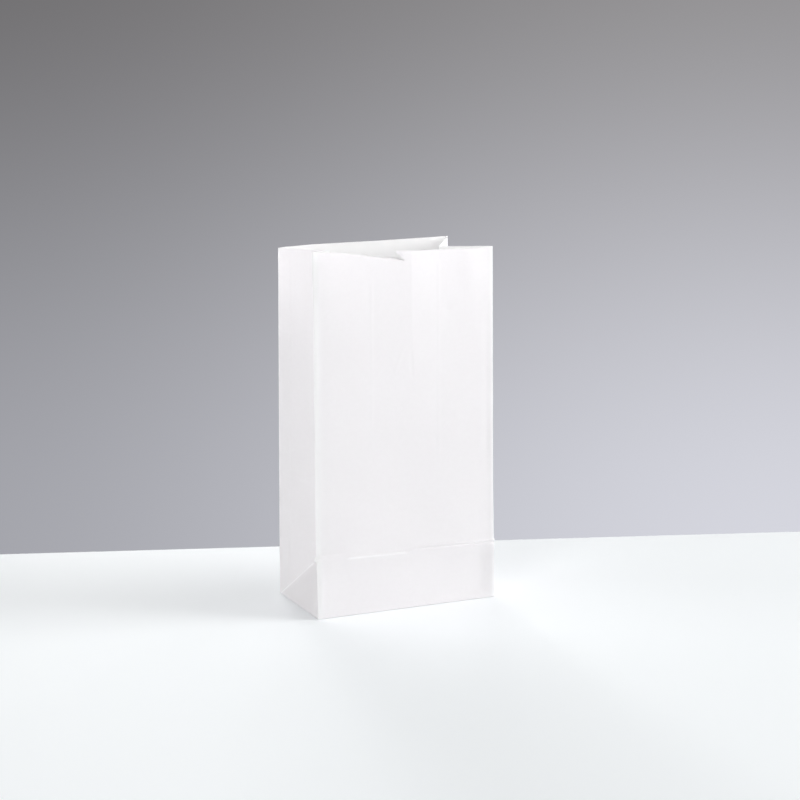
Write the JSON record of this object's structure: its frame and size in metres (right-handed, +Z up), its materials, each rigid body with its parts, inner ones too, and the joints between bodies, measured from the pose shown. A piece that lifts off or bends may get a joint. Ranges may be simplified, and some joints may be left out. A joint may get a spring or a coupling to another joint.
{
  "type": "paper bag",
  "caption": "Open, self-standing white paper bag with a block bottom and inward-folded side gussets, for holding food or small goods.",
  "frame": {"origin": "middle of the base's footprint, on the surface that the bag stands on", "axes": "+Z up through the open mouth, -Y out of the front panel, +X to the right as the front panel is seen"},
  "size_m": [0.136, 0.0764, 0.2553],
  "materials": {
    "paper": "uncoated white paper, matt with a faint machine gloss"
  },
  "bodies": {
    "root": {"bag": "paper"}
  },
  "joints": []
}
